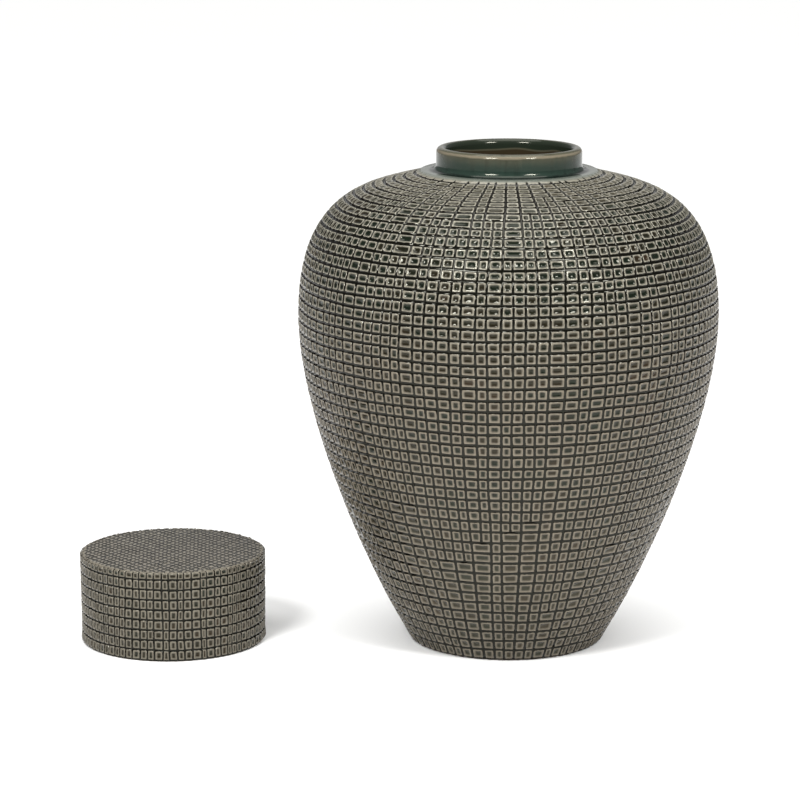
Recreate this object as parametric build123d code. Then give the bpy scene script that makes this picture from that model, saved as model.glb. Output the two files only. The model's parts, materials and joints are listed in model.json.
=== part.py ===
from build123d import *
import os

# A ginger jar of slip-cast glazed stoneware, and its loose cap lid, which stands on the ground
# beside it. Millimetres, +Z up. The origin is the centre of the jar's foot, on the ground, and Z is
# the jar's axis. The outside wall is the envelope of the small tiles cut into the glaze.

# Jar, outside
FOOT_RADIUS = 70.0
BELLY_RADIUS = 152.5
BELLY_Z = 241.5  # height of the widest point
JAR_HEIGHT = 363.4  # to the top of the lip
FOOT_FLARE = (101.2, 48.8)  # end of the wall's tangent where it leaves the foot
BELLY_DROP = 74.6  # length of the upright tangent below the widest point
BELLY_RISE = 101.9  # length of the upright tangent above it
SHOULDER_PULL = (86.9, 335.4)  # end of the tangent that flattens the shoulder
FOOT_EDGE_ROUND = 1.2

# Smooth ring round the neck, where the lid is seated
RING_RADIUS = 65.0
RING_Z = 346.1

# Neck
NECK_RADIUS = 52.6
NECK_BASE_Z = 346.9
NECK_WALL = 7.4  # the lip is rounded over the whole of this
NECK_BASE_ROUND = 1.5

# Inside of the jar
WALL = 8.0
FLOOR_Z = 13.0
FLOOR_ROUND = 14.0
THROAT_Z = 338.0  # where the neck's bore opens into the belly
THROAT_ROUND = 3.0

# Bare foot ring
RECESS_RADIUS = 57.0
RECESS_DEPTH = 5.0
RECESS_ROUND = 2.0

# Lid, a straight cap that goes over the neck and rests on the smooth ring
LID_CENTRE = (-245.8, -6.6)
LID_HEIGHT = 66.5
LID_RIM_RADIUS = 67.5
LID_TOP_RADIUS = 68.2
LID_TOP_ROUND = 3.5
LID_RIM_ROUND = 1.5
SOCKET_RADIUS = 59.5
SOCKET_DEPTH = 58.5
SOCKET_ROUND = 6.0


def turned(*edges):
    """A solid turned once round the Z axis from an outline of radius and height."""
    return revolve(make_face(Plane.XZ * (Curve() + list(edges))), Axis.Z)


def wall_legs():
    """The control points of the jar's wall: from the foot to the belly, and from there to the ring."""
    lower = [
        (FOOT_RADIUS, 0),
        FOOT_FLARE,
        (BELLY_RADIUS, BELLY_Z - BELLY_DROP),
        (BELLY_RADIUS, BELLY_Z),
    ]
    upper = [
        (BELLY_RADIUS, BELLY_Z),
        (BELLY_RADIUS, BELLY_Z + BELLY_RISE),
        SHOULDER_PULL,
        (RING_RADIUS, RING_Z),
    ]
    return lower, upper


def inset(points, depth):
    """The control points of a wall's inner face, depth inside the one that points give."""
    points = [Vector(*p) for p in points]
    legs = [(b - a).normalized() for a, b in zip(points, points[1:])]
    normals = [Vector(-leg.Y, leg.X) for leg in legs]
    inner = [points[0] + normals[0] * depth]
    for point, before, after in zip(points[1:-1], normals, normals[1:]):
        mitre = (before + after).normalized()
        inner.append(point + mitre * (depth / mitre.dot(before)))
    inner.append(points[-1] + normals[-1] * depth)
    return inner


def edges_at(solid, z, radius):
    """The round edges of a solid at a height and radius."""
    rings = solid.edges().filter_by(GeomType.CIRCLE)
    return rings.filter_by(lambda e: abs(e.center().Z - z) < 0.01 and abs(e.radius - radius) < 0.5)


def make_outside():
    """The jar's outside as a full solid, with its foot, ring and rounded lip."""
    lower, upper = wall_legs()
    lip_z = JAR_HEIGHT - NECK_WALL / 2
    lip_middle = NECK_RADIUS - NECK_WALL / 2
    solid = turned(
        Line((0, 0), (FOOT_RADIUS, 0)),
        Bezier(*lower),
        Bezier(*upper),
        Line((RING_RADIUS, RING_Z), (NECK_RADIUS, NECK_BASE_Z)),
        Line((NECK_RADIUS, NECK_BASE_Z), (NECK_RADIUS, lip_z)),
        CenterArc((lip_middle, lip_z), NECK_WALL / 2, 0, 90),
        Line((lip_middle, JAR_HEIGHT), (0, JAR_HEIGHT)),
        Line((0, JAR_HEIGHT), (0, 0)),
    )
    solid = fillet(edges_at(solid, NECK_BASE_Z, NECK_RADIUS), NECK_BASE_ROUND)
    return fillet(edges_at(solid, 0, FOOT_RADIUS), FOOT_EDGE_ROUND)


def make_cavity():
    """The room inside the jar, from its floor up to the throat."""
    lower, upper = (inset(points, WALL) for points in wall_legs())
    solid = turned(
        Line((0, lower[0].Y), lower[0]),
        Bezier(*lower),
        Bezier(*upper),
        Line(upper[-1], (0, upper[-1].Y)),
        Line((0, upper[-1].Y), (0, lower[0].Y)),
    )
    solid = split(solid, Plane.XY.offset(FLOOR_Z), keep=Keep.TOP)
    floor_edge = solid.edges().sort_by(Axis.Z)[0]
    return fillet(floor_edge, FLOOR_ROUND)


def make_bore():
    """The bore of the neck, with the inner half of the rounded lip."""
    radius = NECK_RADIUS - NECK_WALL
    lip_z = JAR_HEIGHT - NECK_WALL / 2
    lip_middle = NECK_RADIUS - NECK_WALL / 2
    return turned(
        Line((0, THROAT_Z - WALL), (radius, THROAT_Z - WALL)),
        Line((radius, THROAT_Z - WALL), (radius, lip_z)),
        CenterArc((lip_middle, lip_z), NECK_WALL / 2, 180, -90),
        Line((lip_middle, JAR_HEIGHT), (0, JAR_HEIGHT)),
        Line((0, JAR_HEIGHT), (0, THROAT_Z - WALL)),
    )


def make_jar():
    """The jar: a hollow body with an open neck and a recessed bare foot."""
    recess = Pos(0, 0, RECESS_DEPTH / 2) * Cylinder(RECESS_RADIUS, RECESS_DEPTH)
    recess = fillet(edges_at(recess, RECESS_DEPTH, RECESS_RADIUS), RECESS_ROUND)
    hollow = make_cavity() + make_bore()
    throat = edges_at(hollow, inset(wall_legs()[1], WALL)[-1].Y, NECK_RADIUS - NECK_WALL)
    hollow = fillet(throat, THROAT_ROUND)
    return make_outside() - hollow - recess


def make_lid():
    """The cap lid, standing on its rim where it was put down."""
    outside = turned(
        Line((0, 0), (LID_RIM_RADIUS, 0)),
        Line((LID_RIM_RADIUS, 0), (LID_TOP_RADIUS, LID_HEIGHT)),
        Line((LID_TOP_RADIUS, LID_HEIGHT), (0, LID_HEIGHT)),
        Line((0, LID_HEIGHT), (0, 0)),
    )
    outside = fillet(edges_at(outside, LID_HEIGHT, LID_TOP_RADIUS), LID_TOP_ROUND)
    outside = fillet(edges_at(outside, 0, LID_RIM_RADIUS), LID_RIM_ROUND)
    socket = Pos(0, 0, SOCKET_DEPTH / 2) * Cylinder(SOCKET_RADIUS, SOCKET_DEPTH)
    socket = fillet(edges_at(socket, SOCKET_DEPTH, SOCKET_RADIUS), SOCKET_ROUND)
    return Pos(*LID_CENTRE, 0) * (outside - socket)


os.makedirs("parts", exist_ok=True)
export_step(make_jar(), "parts/jar.step")
export_step(make_lid(), "parts/lid.step")
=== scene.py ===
"""A glazed stoneware ginger jar, covered with small hand-cut tiles, and its cap lid beside it."""

from __future__ import annotations

import json
import logging
import math
import random
from bisect import bisect_right
from collections.abc import Callable, Iterable, Sequence
from dataclasses import dataclass
from enum import Enum

import bpy
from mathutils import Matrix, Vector, noise

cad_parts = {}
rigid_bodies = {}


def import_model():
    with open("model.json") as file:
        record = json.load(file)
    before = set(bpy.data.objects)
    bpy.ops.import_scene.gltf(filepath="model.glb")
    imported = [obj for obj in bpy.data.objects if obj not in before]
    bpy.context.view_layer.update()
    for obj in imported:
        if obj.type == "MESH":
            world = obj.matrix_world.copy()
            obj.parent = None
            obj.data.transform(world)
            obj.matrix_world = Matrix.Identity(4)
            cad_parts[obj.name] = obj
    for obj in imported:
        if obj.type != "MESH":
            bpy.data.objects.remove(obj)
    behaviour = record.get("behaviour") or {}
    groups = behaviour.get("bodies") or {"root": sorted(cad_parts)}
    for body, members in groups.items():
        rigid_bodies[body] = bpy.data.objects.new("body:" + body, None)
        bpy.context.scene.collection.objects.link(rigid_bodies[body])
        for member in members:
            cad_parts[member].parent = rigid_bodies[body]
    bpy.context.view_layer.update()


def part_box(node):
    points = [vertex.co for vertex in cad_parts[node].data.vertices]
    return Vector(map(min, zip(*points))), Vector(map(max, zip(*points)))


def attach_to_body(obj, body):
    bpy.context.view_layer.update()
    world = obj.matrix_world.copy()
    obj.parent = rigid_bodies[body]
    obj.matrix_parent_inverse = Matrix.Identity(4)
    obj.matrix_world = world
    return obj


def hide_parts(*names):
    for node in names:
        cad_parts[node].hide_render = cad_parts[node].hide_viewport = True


LOG = logging.getLogger("ginger_jar")
MM = 0.001
TURN = 2 * math.pi

Ring = tuple[float, float]  # radius and height
Span = tuple[float, float]  # where a change begins and where it ends
Colour = tuple[float, float, float]
POLE = 1 * MM  # points closer to the axis than this are on it


class Part(Enum):
    """What the edit tools pick."""

    POINTS = "VERT"
    EDGES = "EDGE"
    FACES = "FACE"


class Domain(Enum):
    """What a mesh keeps a named value on."""

    POINT = "POINT"
    CORNER = "CORNER"
    FACE = "FACE"


class Kind(Enum):
    """The kinds of number that a mesh keeps."""

    WHOLE = "INT"
    REAL = "FLOAT"


class Layer(Enum):
    """The material slots of a piece, in order."""

    GLAZE = 0
    INSIDE = 1
    CLAY = 2


# ---------------------------------------------------------------- outlines


def bezier(points: Sequence[Ring], steps: int) -> list[Ring]:
    """Samples a cubic curve.

    Args:
        points: its four control points.
        steps: how many equal steps of the curve's parameter to take.

    Returns:
        The points on the curve, both ends included.
    """
    a, b, c, d = (Vector(p) for p in points)
    line = []
    for i in range(steps + 1):
        t = i / steps
        u = 1 - t
        line.append(tuple(a * u**3 + b * (3 * u * u * t) + c * (3 * u * t * t) + d * t**3))
    return line


def arc(centre: Ring, radius: float, start: float, end: float, steps: int) -> list[Ring]:
    """Samples a round corner.

    Args:
        centre: the middle of the arc.
        radius: its radius.
        start: the angle it starts at, in degrees from straight outwards.
        end: the angle it ends at.
        steps: how many equal steps to take.

    Returns:
        The points on the arc, both ends included.
    """
    line = []
    for i in range(steps + 1):
        angle = math.radians(start + (end - start) * i / steps)
        line.append((centre[0] + radius * math.cos(angle), centre[1] + radius * math.sin(angle)))
    return line


def inset_curve(points: Sequence[Ring], depth: float) -> list[Vector]:
    """Moves a curve's control points inwards, so that it follows the curve from inside.

    Args:
        points: the control points, going up the outside.
        depth: how far inside the new curve lies.

    Returns:
        The control points of the inner curve.
    """
    corners = [Vector(p) for p in points]
    legs = [(b - a).normalized() for a, b in zip(corners, corners[1:])]
    inwards = [Vector((-leg.y, leg.x)) for leg in legs]
    inner = [corners[0] + inwards[0] * depth]
    for corner, before, after in zip(corners[1:-1], inwards, inwards[1:]):
        mitre = (before + after).normalized()
        inner.append(corner + mitre * (depth / mitre.dot(before)))
    inner.append(corners[-1] + inwards[-1] * depth)
    return inner


class Outline:
    """A line of radius and height that can be measured along its length."""

    def __init__(self, points: Iterable[Ring]) -> None:
        """Measures the line.

        Args:
            points: closely spaced points along it.
        """
        self.points = [Vector(p) for p in points]
        self.marks = [0.0]
        for a, b in zip(self.points, self.points[1:]):
            self.marks.append(self.marks[-1] + (b - a).length)

    def at(self, distance: float, depth: float = 0.0) -> Vector:
        """Finds a point on the line or inside it.

        Args:
            distance: how far along the line the point is.
            depth: how far inside the line it lies.

        Returns:
            Its radius and height.
        """
        i = min(max(bisect_right(self.marks, distance) - 1, 0), len(self.points) - 2)
        leg = self.points[i + 1] - self.points[i]
        share = (distance - self.marks[i]) / leg.length
        inwards = Vector((-leg.y, leg.x)).normalized()
        return self.points[i] + leg * share + inwards * depth


# ---------------------------------------------------------------- modelling


def deselect() -> None:
    """Leaves nothing selected, in object mode."""
    bpy.ops.object.select_all(action="DESELECT")


class Model:
    """One mesh piece, shaped with edit-mode tools."""

    def __init__(self, name: str, segments: int, first: Ring) -> None:
        """Starts the piece as one open ring.

        Args:
            name: the piece's name.
            segments: how many points each ring has.
            first: the radius and height of the first ring.
        """
        deselect()
        bpy.ops.mesh.primitive_circle_add(vertices=segments, radius=first[0])
        self.piece = bpy.context.object
        self.piece.name = name
        self.segments = segments
        self.edit()
        bpy.ops.mesh.select_all(action="SELECT")
        bpy.ops.transform.translate(value=(0, 0, first[1]))
        self.rest()

    @property
    def mesh(self) -> bpy.types.Mesh:
        """The piece's mesh."""
        return self.piece.data

    def take(self) -> None:
        """Makes the piece the only selected object, and the active one."""
        deselect()
        self.piece.select_set(True)
        bpy.context.view_layer.objects.active = self.piece

    def edit(self, part: Part = Part.POINTS) -> None:
        """Opens the piece in edit mode.

        Args:
            part: what is picked there.
        """
        self.take()
        bpy.ops.object.mode_set(mode="EDIT")
        bpy.ops.mesh.select_mode(type=part.value)

    def rest(self) -> None:
        """Goes back to object mode."""
        bpy.ops.object.mode_set(mode="OBJECT")

    def raise_rings(self, rings: Sequence[Ring]) -> None:
        """Extrudes the selected ring through a row of others.

        Args:
            rings: radius and height of each, starting with the one that is there already.
        """
        for (radius, height), (next_radius, next_height) in zip(rings, rings[1:]):
            rise = (0, 0, next_height - height)
            bpy.ops.mesh.extrude_edges_move(TRANSFORM_OT_translate={"value": rise})
            share = next_radius / radius
            bpy.ops.transform.resize(value=(share, share, 1), center_override=(0, 0, next_height))

    def select(self, wanted: Callable[[bpy.types.MeshPolygon], bool]) -> int:
        """Selects faces by a test, in object mode.

        Args:
            wanted: says whether a face is selected.

        Returns:
            How many faces are selected.
        """
        self.clear_selection()
        count = 0
        for face in self.mesh.polygons:
            if wanted(face):
                face.select = True
                count += 1
        return count

    def clear_selection(self) -> None:
        """Deselects every vertex, edge and face of the mesh."""
        for group in (self.mesh.vertices, self.mesh.edges, self.mesh.polygons):
            group.foreach_set("select", [False] * len(group))

    def select_first_ring(self) -> None:
        """Selects the ring that the piece started as."""
        self.clear_selection()
        for point in self.mesh.vertices[:self.segments]:
            point.select = True
        for edge in self.mesh.edges:
            if all(v < self.segments for v in edge.vertices):
                edge.select = True

    def grow(self, rings: Sequence[Ring], to_point: bool = True) -> None:
        """Extrudes the first ring through a row of others, and closes the last one.

        Args:
            rings: radius and height of each, starting with the first ring's own.
            to_point: whether the end is a point, and otherwise it is one flat face.
        """
        self.select_first_ring()
        self.edit(Part.EDGES)
        self.raise_rings(rings)
        if to_point:
            self.close_pole()
        else:
            bpy.ops.mesh.edge_face_add()
        self.rest()

    def meridians(self) -> list[int]:
        """Numbers the upright line that each point is on, while the lines are evenly spaced."""
        even = TURN / self.segments
        return [round(math.atan2(v.co.y, v.co.x) / even) % self.segments for v in self.mesh.vertices]

    def numbers(self, name: str, kind: Kind, domain: Domain, value: Callable[[int], float]) -> None:
        """Writes a named value on every element of the mesh.

        Args:
            name: the attribute's name.
            kind: the kind of number.
            domain: the elements that carry it.
            value: gives the value of each element from its index.
        """
        attributes = self.mesh.attributes
        made = attributes.get(name) or attributes.new(name, kind.value, domain.value)
        made.data.foreach_set("value", [value(i) for i in range(len(made.data))])

    def vectors(self, name: str, domain: Domain, values: Sequence[Vector]) -> None:
        """Writes a named vector on every element of the mesh.

        Args:
            name: the attribute's name.
            domain: the elements that carry it.
            values: the vectors, in the order of the elements.
        """
        made = self.mesh.attributes.new(name, "FLOAT_VECTOR", domain.value)
        made.data.foreach_set("vector", [number for vector in values for number in vector])

    def read(self, name: str) -> list[float]:
        """Reads a named value of every element of the mesh."""
        return [element.value for element in self.mesh.attributes[name].data]

    def mark(self, name: str) -> None:
        """Makes a named value the one that the edit tools set."""
        self.mesh.attributes.active = self.mesh.attributes[name]

    def dress(self, materials: Iterable[bpy.types.Material]) -> None:
        """Gives the piece its material slots, in order."""
        for material in materials:
            self.mesh.materials.append(material)

    def smooth(self) -> None:
        """Shades the whole piece smooth."""
        self.take()
        bpy.ops.object.shade_smooth()

    def turn_outwards(self) -> None:
        """Makes the normals of the closed piece point out."""
        self.edit(Part.FACES)
        bpy.ops.mesh.select_all(action="SELECT")
        bpy.ops.mesh.normals_make_consistent(inside=False)
        self.rest()

    def put_in_order(self) -> None:
        """Lists the faces by their points, because an extrusion lists them by chance."""
        points = [tuple(point.co) for point in self.mesh.vertices]
        faces = []
        for face in self.mesh.polygons:
            turn = list(face.vertices)
            first = turn.index(min(turn))
            faces.append(turn[first:] + turn[:first])
        faces.sort(key=lambda turn: sorted(turn, reverse=True))
        self.mesh.clear_geometry()
        self.mesh.from_pydata(points, [], faces)

    def close_pole(self) -> None:
        """Closes the selected small ring to a point, in edit mode."""
        bpy.ops.mesh.extrude_edges_move(TRANSFORM_OT_translate={"value": (0, 0, 0)})
        bpy.ops.mesh.merge(type="CENTER")


# ---------------------------------------------------------------- cut tiles


@dataclass(frozen=True)
class CutStep:
    """One step of a tile's cross-section, going in from the groove.

    Attributes:
        inset: how far in the step goes.
        rise: how far it rises, or falls if it is below zero.
        place: the value of the cut attribute there, from 0 in the groove to 1 in the tile's middle.
    """

    inset: float
    rise: float
    place: float


@dataclass(frozen=True)
class TileCutter:
    """Cuts the small tiles: a raised edge round a shallow hollow, with a groove on every side.

    Attributes:
        groove_depth: how deep the grooves are.
        edge_share: the share of that depth at the piece's bare edge.
        full_measure: a full tile's area, doubled and divided by its girth.
        least_measure: the same for the smallest tile that is cut.
        least_corner: the sharpest corner that a cut tile has.
        level_share: how much more of a full tile the level grooves take on each side.
        most_taken: the largest share of a tile's height that they take.
        open_share: how far the edge's glaze runs on above a tile that has no groove there.
        uneven: how far the cut points stray.
        grades: how many sizes the tiles are sorted into.
        steps: the cross-section, going inwards.
    """

    groove_depth: float = 1.5 * MM
    edge_share: float = 0.6
    full_measure: float = 4.4 * MM
    least_measure: float = 1.1 * MM
    least_corner: float = math.radians(18)
    level_share: float = 0.25 * MM
    most_taken: float = 0.3
    open_share: float = 0.24
    uneven: float = 0.16 * MM
    grades: int = 10
    steps: tuple[CutStep, ...] = (
        CutStep(0.45 * MM, 0.10 * MM, 0.10),
        CutStep(0.48 * MM, 1.30 * MM, 0.21),
        CutStep(0.40 * MM, 0.10 * MM, 0.30),
        CutStep(1.35 * MM, -0.62 * MM, 0.61),
    )

    def depth_at(self, ring: int) -> float:
        """The depth of the grooves at a ring of the wall, counted from the bare edge."""
        return self.groove_depth * (self.edge_share if ring == 0 else 1)

    def grade(self, mesh: bpy.types.Mesh, face: bpy.types.MeshPolygon) -> int:
        """Sorts a tile by its size.

        Args:
            mesh: the mesh that the face is in.
            face: the uncut tile.

        Returns:
            0 for one too small to cut, and otherwise up to the number of grades.
        """
        corners = [mesh.vertices[i].co for i in face.vertices]
        girth = sum((a - b).length for a, b in zip(corners, corners[1:] + corners[:1]))
        measure = 2 * face.area / girth
        if measure < self.least_measure or self.sharpest(corners) < self.least_corner:
            return 0
        return max(1, min(self.grades, round(self.grades * measure / self.full_measure)))

    def sharpest(self, corners: Sequence[Vector]) -> float:
        """Measures a tile's sharpest corner.

        Args:
            corners: the tile's corners, in order.

        Returns:
            The smallest angle, in radians.
        """
        angles = []
        for before, corner, after in zip(corners[-1:] + corners, corners, corners[1:] + corners[:1]):
            angles.append((before - corner).angle(after - corner, 0.0))
        return min(angles)

    def carve(self, model: Model, is_tile: Callable[[int], bool], rng: random.Random,
              is_open: Callable[[int], bool] = lambda _: False) -> int:
        """Cuts every tile of a piece.

        Args:
            model: the piece, with its tiles as single faces at the depth of the grooves.
            is_tile: says from its index whether a face is a tile.
            rng: gives each tile its tone.
            is_open: says whether a tile has no dark groove above it.

        Returns:
            How many tiles were cut.
        """
        mesh = model.mesh
        grades = [self.grade(mesh, f) if is_tile(f.index) else 0 for f in mesh.polygons]
        model.numbers("grade", Kind.WHOLE, Domain.FACE, lambda i: grades[i])
        model.numbers("tone", Kind.REAL, Domain.FACE, lambda _: rng.random())
        self.lay_out(model, grades, is_open)
        for grade in sorted(set(grades) - {0}):
            values = model.read("grade")
            model.select(lambda face: values[face.index] == grade)
            self.cut_selected(model, grade / self.grades)
        return sum(1 for grade in grades if grade)

    def axes(self, face: bpy.types.MeshPolygon,
             points: Sequence[Vector]) -> tuple[Vector, Vector, Vector]:
        """Finds how a tile lies on the wall.

        Args:
            face: the tile.
            points: its corners.

        Returns:
            Its middle, the level direction along it and the direction up the wall.
        """
        middle = sum(points, Vector()) / len(points)
        level = Vector((-middle.y, middle.x, 0)).normalized()
        return middle, level, face.normal.cross(level).normalized()

    def lay_out(self, model: Model, grades: Sequence[int], is_open: Callable[[int], bool]) -> None:
        """Gives each tile coordinates of its own, so that its glaze follows its outline.

        The spot of a corner is how far it is from the tile's middle, across and up, and the reach
        of a face is how far its outline is. Both are in shares of a full tile's measure.

        Args:
            model: the piece, with its tiles not cut yet.
            grades: the grade of each face.
            is_open: says whether a tile has no dark groove above it.
        """
        mesh = model.mesh
        spots = [Vector()] * len(mesh.loops)
        reaches = [Vector()] * len(mesh.polygons)
        for face in mesh.polygons:
            if not grades[face.index]:
                continue
            points = [mesh.vertices[i].co for i in face.vertices]
            unit = self.full_measure * grades[face.index] / self.grades
            middle, level, up = self.axes(face, points)
            flat = [Vector(((p - middle).dot(level), (p - middle).dot(up))) / unit for p in points]
            above = [spot.x for spot in flat if spot.y > 0]
            below = [spot.x for spot in flat if spot.y <= 0]
            if min(len(above), len(below)) < 2:
                continue
            width = (max(above) - min(above) + max(below) - min(below)) / 4
            height = sum(abs(spot.y) for spot in flat) / len(flat)
            top = height - self.open_share if is_open(face.index) else height
            for loop, spot in zip(face.loop_indices, flat):
                row = above if spot.y > 0 else below
                ends = {min(row): -width, max(row): width}
                across = ends.get(spot.x, max(-width, min(width, spot.x)))
                spots[loop] = Vector((across, top if spot.y > 0 else -height, 0))
            reaches[face.index] = Vector((width, height, 0))
        model.vectors("spot", Domain.CORNER, spots)
        model.vectors("reach", Domain.FACE, reaches)

    def cut_selected(self, model: Model, share: float) -> None:
        """Cuts the selected faces.

        Args:
            model: the piece they are in.
            share: the width of the steps, as a share of a full tile's.
        """
        model.mark("cut")
        model.edit(Part.FACES)
        for number, step in enumerate(self.steps):
            rise = step.rise if step.rise > 0 else step.rise * share
            bpy.ops.mesh.inset(thickness=step.inset * share, depth=rise, use_individual=True)
            bpy.ops.mesh.attribute_set(value_float=step.place)
            if number == 0:
                model.rest()
                self.widen_level_grooves(model, self.level_share * share)
                model.edit(Part.FACES)
        bpy.ops.mesh.select_more()
        bpy.ops.mesh.select_more()
        bpy.ops.transform.vertex_random(offset=self.uneven, normal=1.0, seed=round(share * 100))
        model.rest()

    def widen_level_grooves(self, model: Model, amount: float) -> None:
        """Draws the selected tiles in from above and below, because the level grooves are wider.

        Args:
            model: the piece they are in.
            amount: how far they are drawn in on each side.
        """
        for face in model.mesh.polygons:
            if not face.select:
                continue
            points = [model.mesh.vertices[i] for i in face.vertices]
            middle, _, up = self.axes(face, [point.co for point in points])
            heights = [(point.co - middle).dot(up) for point in points]
            half = (max(heights) - min(heights)) / 2
            for point, height in zip(points, heights):
                point.co -= up * (height * min(self.most_taken, amount / half))

    def cut_scaled(self, model: Model, is_tile: Callable[[bpy.types.MeshPolygon], bool]) -> int:
        """Cuts tiles of any outline, by drawing each one in towards its own middle.

        Args:
            model: the piece they are in.
            is_tile: says whether a face is such a tile.

        Returns:
            How many tiles were cut.
        """
        count = model.select(is_tile)
        model.mark("cut")
        left = self.full_measure
        for step in self.steps:
            model.edit(Part.FACES)
            bpy.ops.mesh.inset(thickness=0, depth=step.rise, use_individual=True)
            bpy.ops.mesh.attribute_set(value_float=step.place)
            model.rest()
            for face in model.mesh.polygons:
                if face.select:
                    self.draw_in(model, face, (left - step.inset) / left)
            left -= step.inset
        return count

    def draw_in(self, model: Model, face: bpy.types.MeshPolygon, share: float) -> None:
        """Scales a face about its own middle.

        Args:
            model: the piece it is in.
            face: the face.
            share: its new size, as a share of the old one.
        """
        points = [model.mesh.vertices[i] for i in face.vertices]
        middle = sum((point.co for point in points), Vector()) / len(points)
        for point in points:
            point.co = middle + (point.co - middle) * share


@dataclass(frozen=True)
class HandWobble:
    """How far the grooves stray from true, as they do when they are cut by hand.

    Attributes:
        sway: the slow stray of an upright groove, as an angle.
        twitch: its quick stray.
        rise: the stray of a level groove.
        slow: how often the slow stray turns, round the piece and up a metre of its wall.
        quick: how often the quick one does.
        level: how often that of a level groove does.
    """

    sway: float = math.radians(0.42)
    twitch: float = math.radians(0.20)
    rise: float = 0.45 * MM
    slow: tuple[float, float] = (4, 14)
    quick: tuple[float, float] = (26, 30)
    level: tuple[float, float] = (3, 90)

    def wave(self, often: tuple[float, float], angle: float, distance: float, seed: float) -> float:
        """Gives a smooth random number, which comes round to the same value after a turn."""
        round_it, up = often
        x, y = math.cos(angle), math.sin(angle)
        return noise.noise(Vector((x * round_it, y * round_it, distance * up + seed)))

    def angle(self, angle: float, distance: float) -> float:
        """The sideways stray of an upright groove, at an angle and a distance up the wall."""
        quick = self.wave(self.quick, angle, distance, 7)
        return self.sway * self.wave(self.slow, angle, distance, 0) + self.twitch * quick * 2

    def height(self, angle: float, distance: float) -> float:
        """The stray of a level groove along the wall."""
        return self.rise * 2 * self.wave(self.level, angle, distance, 3)


@dataclass
class Grooves:
    """The upright grooves of one piece: their angles ring by ring, and where some of them end.

    Attributes:
        count: how many there are.
        rng: decides their spacing and their ends.
        uneven: how far a tile's width strays from the mean, as a share of it.
        spread: how fast the grooves close up again where one has ended.
        whim: how much chance there is in which one ends.
    """

    count: int
    rng: random.Random
    uneven: float = 0.23
    spread: float = 0.05
    whim: float = 0.2

    def __post_init__(self) -> None:
        """Spaces the grooves unevenly round the piece."""
        widths = [self.rng.uniform(1 - self.uneven, 1 + self.uneven) for _ in range(self.count)]
        share = TURN / sum(widths)
        angle = 0.0
        self.live: list[tuple[int, float]] = []
        for number, width in enumerate(widths):
            self.live.append((number, angle))
            angle += width * share
        self.start = list(self.live)

    def all_angles(self) -> list[float]:
        """Places every groove, with the ended ones spaced between their neighbours.

        Returns:
            Their angles, by number.
        """
        angles = [0.0] * self.count
        for (number, angle), (after, angle_after) in zip(self.live, self.live[1:] + self.live[:1]):
            steps = (after - number) % self.count or self.count
            gap = (angle_after - angle) % TURN
            for i in range(steps):
                angles[(number + i) % self.count] = angle + gap * i / steps
        return angles

    def march(self, rings: Iterable[int], girths: Sequence[float],
              widths: Sequence[float]) -> tuple[dict[int, list[float]], dict[int, int]]:
        """Carries the grooves from ring to ring, ending the most crowded where the wall narrows.

        Args:
            rings: the numbers of the rings, in the order they are reached.
            girths: the length round the wall at each ring.
            widths: the mean tile width wanted at each ring.

        Returns:
            Every groove's angle at each of those rings, and the rings where some grooves end.
        """
        self.live = list(self.start)
        angles: dict[int, list[float]] = {}
        ends: dict[int, int] = {}
        for ring in rings:
            angles[ring] = self.all_angles()
            while len(self.live) * widths[ring] > girths[ring]:
                number, _ = self.live.pop(self.most_crowded())
                ends[number] = ring
            self.relax()
        return angles, ends

    def most_crowded(self) -> int:
        """Finds which live groove stands closest to both its neighbours.

        Returns:
            Its place in the list.
        """
        angles = [angle for _, angle in self.live]

        def room(i: int) -> float:
            """The gap between a groove's neighbours, with some chance in it."""
            gap = (angles[(i + 1) % len(angles)] - angles[i - 1]) % TURN
            return gap * self.rng.uniform(1 - self.whim, 1 + self.whim)

        return min(range(len(angles)), key=room)

    def relax(self) -> None:
        """Moves each live groove a little towards the middle of its neighbours."""
        angles = [angle for _, angle in self.live]
        moved = []
        for i, (number, angle) in enumerate(self.live):
            before = (angle - angles[i - 1]) % TURN
            after = (angles[(i + 1) % len(angles)] - angle) % TURN
            moved.append((number, angle + self.spread * (after - before) / 2))
        self.live = moved


# ---------------------------------------------------------------- shader maths


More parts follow.
